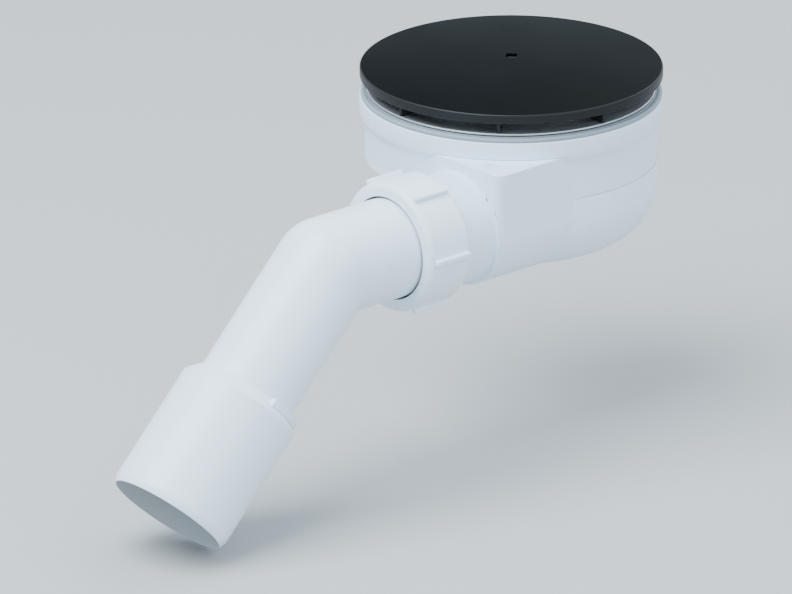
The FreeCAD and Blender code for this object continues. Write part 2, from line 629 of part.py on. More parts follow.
def makeCollarRing():
    """Lip, taper, collar, deck and the bore that takes the clamping sleeve, all turned."""
    deckLow = "-gasketThick - deckThick"
    lipLow = "-gasketThick - lipHeight"
    return turned("collarRing", [
        ("neckBore", "-gasketThick"), ("lipRadius", "-gasketThick"), ("lipRadius", lipLow),
        ("collarRadius", lipLow + " - lipTaper"), ("collarRadius", "collarChamfer - collarDepth"),
        ("collarRadius - collarChamfer", "-collarDepth"), ("collarInner", "-collarDepth"),
        ("collarInner", deckLow), ("neckBore + boreWall", deckLow), ("neckBore + boreWall", "-neckDepth"),
        ("neckBore", "-neckDepth")])


def makeBody():
    """The two mouldings of the body: the bowl's rim stands inside the collar and is welded there."""
    core = primitive("Cylinder", "collarCore", Radius="collarInner", Height="collarDepth")
    place(core, z="-collarDepth")
    ductShell = combined("Cut", "ductShell", makeDuct("ductOutside", "0"), core)
    rim = turned("rimOutside", [
        ("0", "-collarDepth - wall"), ("shallowRadius - wall / 2", "-collarDepth - wall"),
        ("collarInner", "-collarDepth"), ("collarInner", "rimTop"), ("0", "rimTop")])
    outside = joined("bowlOutside", makeChamber("outer", "0", "%g - collarDepth" % EMBED, "-collarDepth")
                     + [rim, ductShell, makeOutletNeck()])
    mouth = primitive("Cylinder", "bowlMouth", Radius="rimInner", Height="rimHeight + wall + %g" % BEYOND)
    place(mouth, z="-collarDepth - wall")
    inside = joined("bowlInside", makeChamber("inner", "wall", "rimTop", "-collarDepth - wall")
                    + [mouth, makeDuct("ductInside", "wall"), makeOutletBore()])
    return [combined("Cut", "body_top", makeCollarRing(), ductShell),
            combined("Cut", "body_bowl", outside, inside)]


def makeOutletSeal():
    """Tapered rubber seal in the neck's mouth, pressed by the washer."""
    inner = "pipeRadius + runningGap"
    mouth = "socketRadius + mouthFlare"
    seal = turned("outlet_seal", [
        (inner, "neckEnd - mouthFlare"), ("socketRadius", "neckEnd - mouthFlare"), (mouth, "neckEnd"),
        (mouth, "washerStart"), (inner, "washerStart")])
    return alongOutlet(seal, "0")


def makeSlipWasher():
    """Smooth washer that keeps the turning nut from dragging the seal."""
    outer = "nutBore - washerGap"
    end = "washerStart + washerThick"
    washer = turned("slip_washer", [
        ("nutHole", "washerStart"), (outer, "washerStart"), (outer, end), ("nutHole", end)])
    return alongOutlet(washer, "0")


def makeOutletNut():
    """Compression nut with grip ribs."""
    web = "nutLength - nutWeb"
    body = turned("outlet_nut", [
        ("nutBore", "0"), ("nutRadius", "0"), ("nutRadius", "nutLength - nutRound"),
        ("nutRadius - nutRound", "nutLength", "nutRound"), ("nutHole", "nutLength"),
        ("nutHole", web), ("nutBore", web)])
    rib = block(body, "Additive", "gripRib", "ribHeight + %g" % EMBED, "ribWidth", "nutLength - nutRound / 2",
                "nutRadius - %g" % EMBED, "-ribWidth / 2", "nutRound / 4")
    repeated(body, "gripRibs", rib, "ribCount")
    return alongOutlet(body, "nutStart", "90")


def makePipe(prefix, radius, past):
    """Two cylinders and a ball that follow the elbow's axes, reaching past both ends."""
    first = primitive("Cylinder", prefix + "First", Radius=radius,
                      Height="elbowVertex - pipeStart + %g" % past)
    alongOutlet(first, "pipeStart - %g" % past)
    ball = primitive("Sphere", prefix + "Ball", Radius=radius)
    place(ball, "elbowVertex", "outletOffset", "-outletDrop")
    second = primitive("Cylinder", prefix + "Second", Radius=radius, Height="legLength + %g" % past)
    alongLeg(second)
    return joined(prefix, [first, ball, second])


def makeElbow():
    """Bent outlet pipe."""
    return combined("Cut", "outlet_elbow", makePipe("pipeOutside", "pipeRadius", 0),
                    makePipe("pipeInside", "pipeRadius - pipeWall", BEYOND))


def makeAdapter():
    """Reducing sleeve that pushes over the pipe, with a raised catch on one side."""
    seat = "pipeRadius + adapterGap"
    catchLow = "adapterStart - catchRise"
    body = turned("adapter_sleeve", [
        (seat, "adapterStart"), (seat + " + 2 * adapterGap", "adapterStart"),
        ("adapterRadius", "adapterStart + adapterCone"), ("adapterRadius", "adapterEnd - adapterChamferLong"),
        ("adapterRadius - adapterChamferDeep", "adapterEnd"), ("adapterInner", "adapterEnd"),
        ("adapterInner", "seatEnd"), (seat, "seatEnd")])
    padded(body, "catch", ringSector(seat, "pipeRadius + catchHeight", "catchAngle"),
           catchLow, catchLow + " + catchLength")
    return alongLeg(body, "catchTurn")


def makeAdapterSeal():
    """Rubber lip ring inside the adapter, with a relief between its two lips."""
    inner = "pipeRadius + runningGap"
    relief = "pipeRadius + ringRelief"
    seal = turned("adapter_seal", [
        (inner, "seatEnd"), ("adapterInner", "seatEnd"), ("adapterInner", "ringEnd"), (relief, "ringEnd"),
        (inner, "ringEnd - ringLength / 7"), (inner, "ringEnd - 2 * ringLength / 7"),
        (relief, "seatEnd + ringLength / 2"), (inner, "seatEnd + 2 * ringLength / 7")])
    return alongLeg(seal)


def makeAdapterRetainer():
    """Snap ring that holds the lip ring in place."""
    inner = "pipeRadius + retainerGap"
    end = "ringEnd + retainerLength"
    ring = turned("adapter_retainer", [
        (inner, "ringEnd"), ("adapterInner", "ringEnd"), ("adapterInner", end), (inner, end)])
    return alongLeg(ring)


pieces = makeBody() + [
    makeTrayGasket(), makeFlangeSeal(), makeSteelFlange(), makeClampSleeve(), makeSleeveSeal(),
    makeInsert(), makeInsertRing(), makeTrapCup(), makeStrainer(), makeCoverCarrier(), makeCoverPlate(),
    makeOutletSeal(), makeSlipWasher(), makeOutletNut(), makeElbow(),
    makeAdapter(), makeAdapterSeal(), makeAdapterRetainer()]
doc.recompute()

faults = [item.Label for item in doc.Objects if "Invalid" in item.State or "Error" in item.State]
faults += [item.Label for item in pieces if item.Shape.isNull() or not item.Shape.isValid()]
if faults:
    raise RuntimeError("failed: " + ", ".join(faults))

os.makedirs("parts", exist_ok=True)
for piece in pieces:
    piece.Shape.exportStep("parts/%s.step" % piece.Label)
    box = piece.Shape.BoundBox
    print("%-18s solids %d  volume %9.0f  x %7.2f %7.2f  y %7.2f %7.2f  z %7.2f %7.2f" % (
        piece.Label, len(piece.Shape.Solids), piece.Shape.Volume,
        box.XMin, box.XMax, box.YMin, box.YMax, box.ZMin, box.ZMax))
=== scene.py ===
import json
from math import cos, pi, radians, sin, sqrt

import bmesh
import bpy
from mathutils import Matrix, Vector


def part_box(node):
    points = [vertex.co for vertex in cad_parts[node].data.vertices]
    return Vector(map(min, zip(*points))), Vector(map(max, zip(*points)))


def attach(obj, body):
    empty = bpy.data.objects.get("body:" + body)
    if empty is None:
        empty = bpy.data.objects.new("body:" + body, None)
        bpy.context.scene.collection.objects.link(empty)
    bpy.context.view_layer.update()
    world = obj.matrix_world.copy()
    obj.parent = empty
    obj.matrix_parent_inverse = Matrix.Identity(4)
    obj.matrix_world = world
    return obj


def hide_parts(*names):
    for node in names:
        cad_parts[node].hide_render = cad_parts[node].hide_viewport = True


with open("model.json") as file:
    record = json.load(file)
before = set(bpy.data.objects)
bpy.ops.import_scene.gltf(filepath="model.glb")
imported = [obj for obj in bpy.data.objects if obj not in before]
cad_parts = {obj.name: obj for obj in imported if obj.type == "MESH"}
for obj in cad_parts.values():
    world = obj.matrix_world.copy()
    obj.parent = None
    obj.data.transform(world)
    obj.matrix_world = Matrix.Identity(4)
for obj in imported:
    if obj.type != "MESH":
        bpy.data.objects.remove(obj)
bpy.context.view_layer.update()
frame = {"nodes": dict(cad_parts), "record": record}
mm = 0.001
print("frame loaded:", len(frame["nodes"]), "nodes")

# the outlet's axis runs along X through the middle of the slip washer; alongOutlet turns +Z onto it
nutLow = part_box("outlet_nut")[0]
washerLow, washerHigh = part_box("slip_washer")
outletAxis = (washerLow + washerHigh) / 2
alongOutlet = Matrix.Translation((0, outletAxis.y, outletAxis.z)) @ Matrix.Rotation(pi / 2, 4, "Y")


# shader groups that several finishes share

def newGroup(name, inputs, outputs):
    group = bpy.data.node_groups.new(name, "ShaderNodeTree")
    for title, value in inputs:
        kind = "NodeSocketColor" if isinstance(value, tuple) else "NodeSocketFloat"
        socket = group.interface.new_socket(title, in_out="INPUT", socket_type=kind)
        socket.default_value = value
    for title, kind in outputs:
        group.interface.new_socket(title, in_out="OUTPUT", socket_type=kind)
    return group, group.nodes.new("NodeGroupInput"), group.nodes.new("NodeGroupOutput")


def mathNode(tree, operation, first, second=None, third=None):
    node = tree.nodes.new("ShaderNodeMath")
    node.operation = operation
    for place, value in enumerate((first, second, third)):
        if value is None:
            continue
        if isinstance(value, (int, float)):
            node.inputs[place].default_value = value
        else:
            tree.links.new(value, node.inputs[place])
    return node.outputs[0]


def noiseNode(tree, vector, scale, detail=2.0, roughness=0.5):
    node = tree.nodes.new("ShaderNodeTexNoise")
    node.inputs["Detail"].default_value = detail
    node.inputs["Roughness"].default_value = roughness
    tree.links.new(vector, node.inputs["Vector"])
    if isinstance(scale, (int, float)):
        node.inputs["Scale"].default_value = scale
    else:
        tree.links.new(scale, node.inputs["Scale"])
    return node.outputs["Fac"]


def mixColour(tree, share, first, second):
    node = tree.nodes.new("ShaderNodeMix")
    node.data_type = "RGBA"
    tree.links.new(share, node.inputs[0])
    for place, value in ((6, first), (7, second)):
        if isinstance(value, tuple):
            node.inputs[place].default_value = value
        else:
            tree.links.new(value, node.inputs[place])
    return node.outputs[2]


def mouldedGroup():
    # satin moulding: slow cloudiness of the resin, fine texture of the mould, faint scuffs
    group, inlet, outlet = newGroup("mouldedSkin", (
        ("Colour", (0.8, 0.8, 0.8, 1.0)), ("Cloud", (0.7, 0.7, 0.7, 1.0)), ("Cloud Scale", 22.0),
        ("Grain Scale", 1500.0), ("Grain Height", 0.25), ("Roughness", 0.4), ("Scuffs", 0.06)),
        (("Colour", "NodeSocketColor"), ("Roughness", "NodeSocketFloat"), ("Height", "NodeSocketFloat")))
    place = group.nodes.new("ShaderNodeTexCoord").outputs["Object"]
    cloud = noiseNode(group, place, inlet.outputs["Cloud Scale"], 3.0, 0.55)
    share = mathNode(group, "SMOOTH_MIN", mathNode(group, "MULTIPLY", cloud, 1.1), 1.0, 0.1)
    grain = noiseNode(group, place, inlet.outputs["Grain Scale"], 3.0, 0.6)
    stretch = group.nodes.new("ShaderNodeMapping")
    stretch.inputs["Scale"].default_value = (60.0, 60.0, 900.0)
    stretch.inputs["Rotation"].default_value = (0.5, 0.35, 0.2)
    group.links.new(place, stretch.inputs["Vector"])
    lines = noiseNode(group, stretch.outputs[0], 1.0, 2.0, 0.7)
    scuff = mathNode(group, "MULTIPLY", mathNode(group, "SUBTRACT", lines, 0.58), inlet.outputs["Scuffs"])
    scuff = mathNode(group, "MAXIMUM", mathNode(group, "MULTIPLY", scuff, 5.0), 0.0)
    rough = mathNode(group, "ADD", inlet.outputs["Roughness"],
                     mathNode(group, "MULTIPLY", mathNode(group, "SUBTRACT", grain, 0.5), 0.12))
    colour = mixColour(group, share, inlet.outputs["Cloud"], inlet.outputs["Colour"])
    group.links.new(colour, outlet.inputs["Colour"])
    group.links.new(mathNode(group, "ADD", rough, scuff), outlet.inputs["Roughness"])
    height = mathNode(group, "MULTIPLY", grain, inlet.outputs["Grain Height"])
    group.links.new(height, outlet.inputs["Height"])
    return group


def turnedGroup():
    # concentric marks about the drain axis, as a spinning tool or brush leaves them
    group, inlet, outlet = newGroup("turnedMarks", (
        ("Colour", (0.6, 0.6, 0.6, 1.0)), ("Line Colour", (0.4, 0.4, 0.4, 1.0)), ("Lines", 2600.0),
        ("Roughness", 0.3), ("Spread", 0.2), ("Depth", 0.4)),
        (("Colour", "NodeSocketColor"), ("Roughness", "NodeSocketFloat"), ("Height", "NodeSocketFloat")))
    place = group.nodes.new("ShaderNodeTexCoord").outputs["Object"]
    flat = group.nodes.new("ShaderNodeVectorMath")
    flat.operation = "MULTIPLY"
    flat.inputs[1].default_value = (1.0, 1.0, 0.0)
    group.links.new(place, flat.inputs[0])
    reach = group.nodes.new("ShaderNodeVectorMath")
    reach.operation = "LENGTH"
    group.links.new(flat.outputs[0], reach.inputs[0])
    apart = group.nodes.new("ShaderNodeSeparateXYZ")
    group.links.new(place, apart.inputs[0])
    joined = group.nodes.new("ShaderNodeCombineXYZ")
    group.links.new(reach.outputs["Value"], joined.inputs[0])
    group.links.new(apart.outputs["Z"], joined.inputs[1])
    lines = noiseNode(group, joined.outputs[0], inlet.outputs["Lines"], 3.0, 0.65)
    smear = noiseNode(group, place, 45.0, 3.0, 0.6)
    spread = mathNode(group, "MULTIPLY", mathNode(group, "SUBTRACT", lines, 0.5), inlet.outputs["Spread"])
    smearing = mathNode(group, "MULTIPLY", mathNode(group, "SUBTRACT", smear, 0.5), 0.15)
    rough = mathNode(group, "ADD", mathNode(group, "ADD", inlet.outputs["Roughness"], spread), smearing)
    group.links.new(mixColour(group, lines, inlet.outputs["Line Colour"], inlet.outputs["Colour"]),
                    outlet.inputs["Colour"])
    group.links.new(rough, outlet.inputs["Roughness"])
    group.links.new(mathNode(group, "MULTIPLY", lines, inlet.outputs["Depth"]), outlet.inputs["Height"])
    return group


def coatGroup():
    # powder coat: small pebbled relief with a finer speckle in it
    group, inlet, outlet = newGroup("powderCoat", (
        ("Colour", (0.02, 0.02, 0.02, 1.0)), ("Speck Colour", (0.04, 0.04, 0.04, 1.0)),
        ("Pebble Scale", 1300.0), ("Pebble Height", 0.5), ("Roughness", 0.5)),
        (("Colour", "NodeSocketColor"), ("Roughness", "NodeSocketFloat"), ("Height", "NodeSocketFloat")))
    place = group.nodes.new("ShaderNodeTexCoord").outputs["Object"]
    cells = group.nodes.new("ShaderNodeTexVoronoi")
    cells.feature = "SMOOTH_F1"
    group.links.new(place, cells.inputs["Vector"])
    group.links.new(inlet.outputs["Pebble Scale"], cells.inputs["Scale"])
    speck = noiseNode(group, place, 5200.0, 2.0, 0.6)
    slow = noiseNode(group, place, 30.0, 2.0, 0.5)
    share = mathNode(group, "POWER", speck, 2.0)
    rough = mathNode(group, "ADD", inlet.outputs["Roughness"],
                     mathNode(group, "MULTIPLY", mathNode(group, "SUBTRACT", slow, 0.5), 0.12))
    relief = mathNode(group, "ADD", mathNode(group, "MULTIPLY", cells.outputs["Distance"], -1.0),
                      mathNode(group, "MULTIPLY", speck, 0.25))
    group.links.new(mixColour(group, share, inlet.outputs["Colour"], inlet.outputs["Speck Colour"]),
                    outlet.inputs["Colour"])
    group.links.new(rough, outlet.inputs["Roughness"])
    height = mathNode(group, "MULTIPLY", relief, inlet.outputs["Pebble Height"])
    group.links.new(height, outlet.inputs["Height"])
    return group


groups = {"moulded": mouldedGroup(), "turned": turnedGroup(), "coat": coatGroup()}

# finishes: one entry per material, with the values its group takes

finishes = {
    "whiteBody": {"group": "moulded", "Colour": (0.745, 0.85, 0.965), "Cloud": (0.715, 0.825, 0.945),
                  "Cloud Scale": 18.0, "Grain Scale": 1500.0, "Grain Height": 0.22, "Roughness": 0.42,
                  "Scuffs": 0.06, "bump": 0.12, "coat": 0.0},
    "whiteNut": {"group": "moulded", "Colour": (0.79, 0.88, 0.975), "Cloud": (0.76, 0.855, 0.955),
                 "Cloud Scale": 26.0, "Grain Scale": 1900.0, "Grain Height": 0.22, "Roughness": 0.38,
                 "Scuffs": 0.08, "bump": 0.10, "coat": 0.0},
    "whitePipe": {"group": "moulded", "Colour": (0.785, 0.875, 0.975), "Cloud": (0.755, 0.85, 0.955),
                  "Cloud Scale": 12.0, "Grain Scale": 1100.0, "Grain Height": 0.15, "Roughness": 0.34,
                  "Scuffs": 0.10, "bump": 0.08, "coat": 0.05},
    # a darker, duller copy of the pipe's white: painted shade for the faces inside the adapter's bore
    "whitePaintedBoreShade": {"group": "moulded", "Colour": (0.60, 0.625, 0.64), "Cloud": (0.57, 0.595, 0.61),
                  "Cloud Scale": 12.0, "Grain Scale": 1100.0, "Grain Height": 0.15, "Roughness": 0.45,
                  "Scuffs": 0.10, "bump": 0.08, "coat": 0.0},
    "whiteInsert": {"group": "moulded", "Colour": (0.70, 0.72, 0.74), "Cloud": (0.66, 0.68, 0.705),
                    "Cloud Scale": 30.0, "Grain Scale": 1700.0, "Grain Height": 0.25, "Roughness": 0.45,
                    "Scuffs": 0.05, "bump": 0.12, "coat": 0.0},
    # grey plastic for the clamp sleeve and strainer, also used as painted shade in the nut's hole
    "greyPlasticAndBoreShade": {"group": "moulded", "Colour": (0.235, 0.25, 0.265), "Cloud": (0.205, 0.22, 0.235),
                    "Cloud Scale": 34.0, "Grain Scale": 1300.0, "Grain Height": 0.4, "Roughness": 0.48,
                    "Scuffs": 0.08, "bump": 0.18, "coat": 0.0},
    "naturalPlastic": {"group": "moulded", "Colour": (0.76, 0.76, 0.70), "Cloud": (0.70, 0.70, 0.63),
                       "Cloud Scale": 60.0, "Grain Scale": 900.0, "Grain Height": 0.2, "Roughness": 0.33,
                       "Scuffs": 0.05, "bump": 0.10, "coat": 0.1},
    "blackPlastic": {"group": "moulded", "Colour": (0.022, 0.023, 0.025), "Cloud": (0.017, 0.018, 0.020),
                     "Cloud Scale": 40.0, "Grain Scale": 1200.0, "Grain Height": 0.6, "Roughness": 0.55,
                     "Scuffs": 0.10, "bump": 0.25, "coat": 0.0, "specular": 0.2},
    "blackCover": {"group": "coat", "Colour": (0.0013, 0.0014, 0.0016),
                   "Speck Colour": (0.0035, 0.0038, 0.0042), "Pebble Scale": 1500.0, "Pebble Height": 0.5,
                   "Roughness": 0.45, "bump": 0.10, "coat": 0.0, "specular": 0.022},
    # painted light: the next finish is a lighter, shinier copy of the cover's coat, for the cap's edge faces
    "coverEdgePaintedLight": {"group": "coat", "Colour": (0.0110, 0.0115, 0.0120), "Speck Colour": (0.019, 0.0195, 0.020),
                  "Pebble Scale": 1500.0, "Pebble Height": 0.35, "Roughness": 0.40, "bump": 0.08, "coat": 0.0,
                  "specular": 0.16},
    "stainless": {"group": "turned", "Colour": (0.82, 0.83, 0.84), "Line Colour": (0.55, 0.56, 0.57),
                  "Lines": 3200.0, "Roughness": 0.40, "Spread": 0.26, "Depth": 0.5, "bump": 0.10,
                  "metallic": 0.75, "coat": 0.0},
    "greyRubber": {"group": "turned", "Colour": (0.27, 0.315, 0.355), "Line Colour": (0.235, 0.275, 0.31),
                   "Lines": 900.0, "Roughness": 0.56, "Spread": 0.14, "Depth": 0.5, "bump": 0.12,
                   "coat": 0.0},
    "blackRubber": {"group": "turned", "Colour": (0.026, 0.027, 0.029), "Line Colour": (0.018, 0.019, 0.020),
                    "Lines": 1500.0, "Roughness": 0.62, "Spread": 0.16, "Depth": 0.5, "bump": 0.15,
                    "coat": 0.0},
}
bumpDistance = 0.0005


def makeFinish(name, values):
    material = bpy.data.materials.new(name)
    material.use_nodes = True
    tree = material.node_tree
    shader = tree.nodes["Principled BSDF"]
    shader.inputs["Metallic"].default_value = values.get("metallic", 0.0)
    shader.inputs["Coat Weight"].default_value = values["coat"]
    shader.inputs["Specular IOR Level"].default_value = values.get("specular", 0.5)
    skin = tree.nodes.new("ShaderNodeGroup")
    skin.node_tree = groups[values["group"]]
    for title, value in values.items():
        if title in skin.inputs:
            skin.inputs[title].default_value = value + (1.0,) if isinstance(value, tuple) else value
    bump = tree.nodes.new("ShaderNodeBump")
    bump.inputs["Strength"].default_value = values["bump"]
    bump.inputs["Distance"].default_value = bumpDistance
    tree.links.new(skin.outputs["Colour"], shader.inputs["Base Color"])
    tree.links.new(skin.outputs["Roughness"], shader.inputs["Roughness"])
    tree.links.new(skin.outputs["Height"], bump.inputs["Height"])
    tree.links.new(bump.outputs["Normal"], shader.inputs["Normal"])
    return material


materials = {name: makeFinish(name, values) for name, values in finishes.items()}
slotNames = {"whiteBody": "white_body", "whiteNut": "white_nut", "whitePipe": "white_pipe",
             "whiteInsert": "white_insert", "greyPlasticAndBoreShade": "grey_plastic",
             "naturalPlastic": "natural_plastic", "blackPlastic": "black_plastic",
             "blackCover": "black_cover", "stainless": "stainless", "greyRubber": "grey_rubber",
             "blackRubber": "black_rubber"}
finishOf = {slotName: name for name, slotName in slotNames.items()}
for row in frame["record"]["subparts"]:
    node = frame["nodes"][row["node"]]
    node.data.materials.clear()
    node.data.materials.append(materials[finishOf[row["material_slot"]]])
print("finishes made:", len(materials))


# modelling helpers

def roundedWire(points, segments=4):
    # a closed outline in the XZ plane; a third number rounds that corner
    bm = bmesh.new()
    corners = [bm.verts.new((point[0] * mm, 0, point[1] * mm)) for point in points]
    bm.faces.new(corners)
    for corner, point in zip(corners, points):
        if len(point) > 2:
            bmesh.ops.bevel(bm, geom=[corner], offset=point[2] * mm, offset_type="OFFSET", affect="VERTICES",
                            segments=segments, profile=0.5, material=-1, clamp_overlap=True)
    return bm


def spunSolid(points, steps, segments=4):
    # the outline turned a full circle about Z
    bm = roundedWire(points, segments)
    bmesh.ops.delete(bm, geom=list(bm.faces), context="FACES_ONLY")
    onAxis = [edge for edge in bm.edges if max(vert.co.x for vert in edge.verts) < 1e-7]
    bmesh.ops.delete(bm, geom=onAxis, context="EDGES")
    bmesh.ops.spin(bm, geom=list(bm.verts) + list(bm.edges), cent=(0, 0, 0), axis=(0, 0, 1), dvec=(0, 0, 0),
                   angle=2 * pi, steps=steps, use_merge=True, use_normal_flip=False, use_duplicate=False)
    bmesh.ops.remove_doubles(bm, verts=bm.verts, dist=1e-6)
    bmesh.ops.recalc_face_normals(bm, faces=bm.faces)
    return bm


def helix(points, pitch, turns, stepsPerTurn, start):
    # an outline in the XZ plane swept along a right-handed screw line, closed at both ends
    bm = roundedWire(points)
    bmesh.ops.translate(bm, vec=(0, 0, start * mm), verts=bm.verts)
    steps = int(turns * stepsPerTurn)
    bmesh.ops.spin(bm, geom=list(bm.faces) + list(bm.verts) + list(bm.edges), cent=(0, 0, 0), axis=(0, 0, 1),
                   dvec=(0, 0, pitch * mm / stepsPerTurn), angle=2 * pi * turns, steps=steps, use_merge=False,
                   use_normal_flip=False, use_duplicate=False)
    bmesh.ops.recalc_face_normals(bm, faces=bm.faces)
    return bm


def bar(size, centre, rounding, turn=0.0):
    # a block with rounded edges, turned about Z after it is placed
    bm = bmesh.new()
    bmesh.ops.create_cube(bm, size=1.0)
    bmesh.ops.scale(bm, vec=[length * mm for length in size], verts=bm.verts)
    bmesh.ops.bevel(bm, geom=list(bm.edges), offset=rounding * mm, offset_type="OFFSET", affect="EDGES",
                    segments=3, profile=0.5, material=-1, clamp_overlap=True)
    bmesh.ops.translate(bm, vec=[length * mm for length in centre], verts=bm.verts)
    bmesh.ops.rotate(bm, cent=(0, 0, 0), matrix=Matrix.Rotation(radians(turn), 3, "Z"), verts=bm.verts)
    return bm


def toMesh(bm, name):
    mesh = bpy.data.meshes.new(name)
    bm.to_mesh(mesh)
    bm.free()
    return mesh


def merged(parts):
    whole = bmesh.new()
    for part in parts:
        mesh = toMesh(part, "loose")
        whole.from_mesh(mesh)
        bpy.data.meshes.remove(mesh)
    return whole


def carve(bm, tool, operation="DIFFERENCE"):
    # cut or join with a second solid, and hand back the result
    pieces = []
    for part, name in ((bm, "work"), (tool, "tool")):
        item = bpy.data.objects.new(name, toMesh(part, name))
        bpy.context.scene.collection.objects.link(item)
        pieces.append(item)
    step = pieces[0].modifiers.new("cut", "BOOLEAN")
    step.operation = operation
    step.solver = "EXACT"
    step.object = pieces[1]
    bpy.context.view_layer.update()
    mesh = bpy.data.meshes.new_from_object(pieces[0].evaluated_get(bpy.context.evaluated_depsgraph_get()))
    result = bmesh.new()
    result.from_mesh(mesh)
    bpy.data.meshes.remove(mesh)
    for item in pieces:
        bpy.data.meshes.remove(item.data)
    return result


# degrees over which an edge is softened or shaded sharp; corners nearer than joined, in metres, are one
edges = {"soften": 30, "shadeSharp": 38, "segments": 2, "joined": 2e-6}


def nodeCopy(name, flatAngle=1.0):
    # a CAD node's own mesh with its corners joined; an angle also frees its flat areas of triangles
    bm = bmesh.new()
    bm.from_mesh(frame["nodes"][name].data)
    bmesh.ops.remove_doubles(bm, verts=bm.verts, dist=edges["joined"])
    if flatAngle:
        bmesh.ops.dissolve_limit(bm, angle_limit=radians(flatAngle), use_dissolve_boundaries=False,
                                 verts=bm.verts, edges=bm.edges, delimit=set())
    return bm


def soften(bm, width, kept=None):
    # kept says which edges stay as they are
    hard = [edge for edge in bm.edges
            if len(edge.link_faces) == 2 and edge.calc_face_angle(0) > radians(edges["soften"])
            and not (kept and kept(edge))]
    bmesh.ops.bevel(bm, geom=hard, offset=width * mm, offset_type="OFFSET", affect="EDGES",
                    segments=edges["segments"], profile=0.5, material=-1, clamp_overlap=False)
    return bm


def finishPiece(name, bm, body, finish, replaced, place=None):
    if place:
        bmesh.ops.transform(bm, matrix=place, verts=bm.verts)
    bmesh.ops.remove_doubles(bm, verts=bm.verts, dist=edges["joined"])
    bmesh.ops.dissolve_degenerate(bm, dist=1e-6, edges=bm.edges)
    for face in bm.faces:
        face.smooth = True
        face.material_index = 0
    piece = bpy.data.objects.new(name, toMesh(bm, name))
    bpy.context.scene.collection.objects.link(piece)
    piece.data.set_sharp_from_angle(angle=radians(edges["shadeSharp"]))
    piece.data.materials.clear()
    piece.data.materials.append(materials[finish])
    evenShading = piece.modifiers.new("evenShading", "WEIGHTED_NORMAL")
    evenShading.keep_sharp = True
    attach(piece, body)
    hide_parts(*replaced)
    print("  %-16s %6d faces" % (name, len(piece.data.polygons)))
    return piece


def paintBoreShade(piece, start, direction, finish, reach):
    # painted shade: faces within reach of the axis that look back at it take a darker, duller finish that
    # stands in for the shade inside the bore
    lookingBack = -0.5
    piece.data.materials.append(materials[finish])
    for face in piece.data.polygons:
        outward = face.center - start
        outward -= direction * outward.dot(direction)
        if outward.length < reach * mm and face.normal.dot(outward.normalized()) < lookingBack:
            face.material_index = 1


# cover: a pressed cap with a low crown and a small lifting recess

cover = {"sheet": 1.2, "chamfer": 0.35, "cornerOver": 0.1, "cornerRound": 0.25, "rim": 3.45, "turn": 42.4,
         "recess": (5.0, 4.4), "recessRound": 0.35, "cutterHigh": 12.0, "steps": 180,
         "spokeLong": 40.0, "crownCuts": 11, "crownReach": 0.999, "crownBelow": 1.0,
         "edgeSlope": 0.9, "edgeFrom": 0.95, "carrierEdge": 0.25}
coverLow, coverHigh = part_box("cover_plate")
coverRadius = coverHigh.x / mm
rimLow = coverLow.z / mm
shoulder = rimLow + cover["rim"] + cover["chamfer"]
crown = coverHigh.z / mm - shoulder
inside = coverRadius - cover["sheet"]
corner = cover["chamfer"] + cover["cornerOver"]
cap = spunSolid([
    (0, shoulder - cover["sheet"]), (0, shoulder),
    (coverRadius - corner, shoulder, cover["cornerRound"]),
    (coverRadius, shoulder - corner, cover["cornerRound"]), (coverRadius, rimLow, 0.35),
    (inside, rimLow, 0.35), (inside, shoulder - cover["sheet"], 0.8)], cover["steps"])
spokes = [edge for edge in cap.edges if abs(edge.verts[0].co.z - edge.verts[1].co.z) < 1e-6
          and abs(edge.verts[0].co.xy.length - edge.verts[1].co.xy.length) > cover["spokeLong"] * mm]
bmesh.ops.subdivide_edges(cap, edges=spokes, cuts=cover["crownCuts"], use_grid_fill=True)
for vert in cap.verts:
    reach = vert.co.xy.length / (coverRadius * mm)
    if vert.co.z > (shoulder - cover["sheet"] - cover["crownBelow"]) * mm and reach < cover["crownReach"]:
        vert.co.z += crown * mm * (1 - reach * reach)
pocket = bar(cover["recess"] + (cover["cutterHigh"],), (0, 0, rimLow + cover["cutterHigh"] / 2),
             cover["recessRound"], cover["turn"])
cap = carve(cap, pocket)
capPiece = finishPiece("coverCap", cap, "cover", "blackCover", ("cover_plate",))
# painted light: the cap's steep faces near its edge get a lighter, shinier copy of the finish
capPiece.data.materials.append(materials["coverEdgePaintedLight"])
edgeFrom = cover["edgeFrom"] * coverRadius * mm
for face in capPiece.data.polygons:
    if abs(face.normal.z) < cover["edgeSlope"] and face.center.xy.length > edgeFrom:
        face.material_index = 1    # painted light on the edge, lighter and shinier than the crown
carrier = soften(nodeCopy("cover_carrier"), cover["carrierEdge"])
finishPiece("coverCarrier", carrier, "cover", "blackPlastic", ("cover_carrier",))
print("cover done")

# clamping group: flange, gasket, threaded sleeve and their seals

flange = {"hole": 43.2, "sheet": 0.8, "beadInner": 49.0, "beadOuter": 51.5, "beadSlope": 0.6,
          "beadDeep": 0.25, "steps": 180}
flangeLow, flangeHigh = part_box("steel_flange")
top, outer = flangeHigh.z / mm, flangeHigh.x / mm
under = top - flange["sheet"]
hole = flange["hole"]
ring = spunSolid([
    (hole, flangeLow.z / mm, 0.2), (hole + flange["sheet"], flangeLow.z / mm, 0.2),
    (hole + flange["sheet"], under, 0.4), (outer, under, 0.3), (outer, top, 0.3),
    (flange["beadOuter"], top, 0.5),
    (flange["beadOuter"] - flange["beadSlope"], top - flange["beadDeep"], 0.5),
    (flange["beadInner"] + flange["beadSlope"], top - flange["beadDeep"], 0.5),
    (flange["beadInner"], top, 0.5), (hole, top, 0.7)], flange["steps"])
finishPiece("flangeRing", ring, "flange", "stainless", ("steel_flange",))

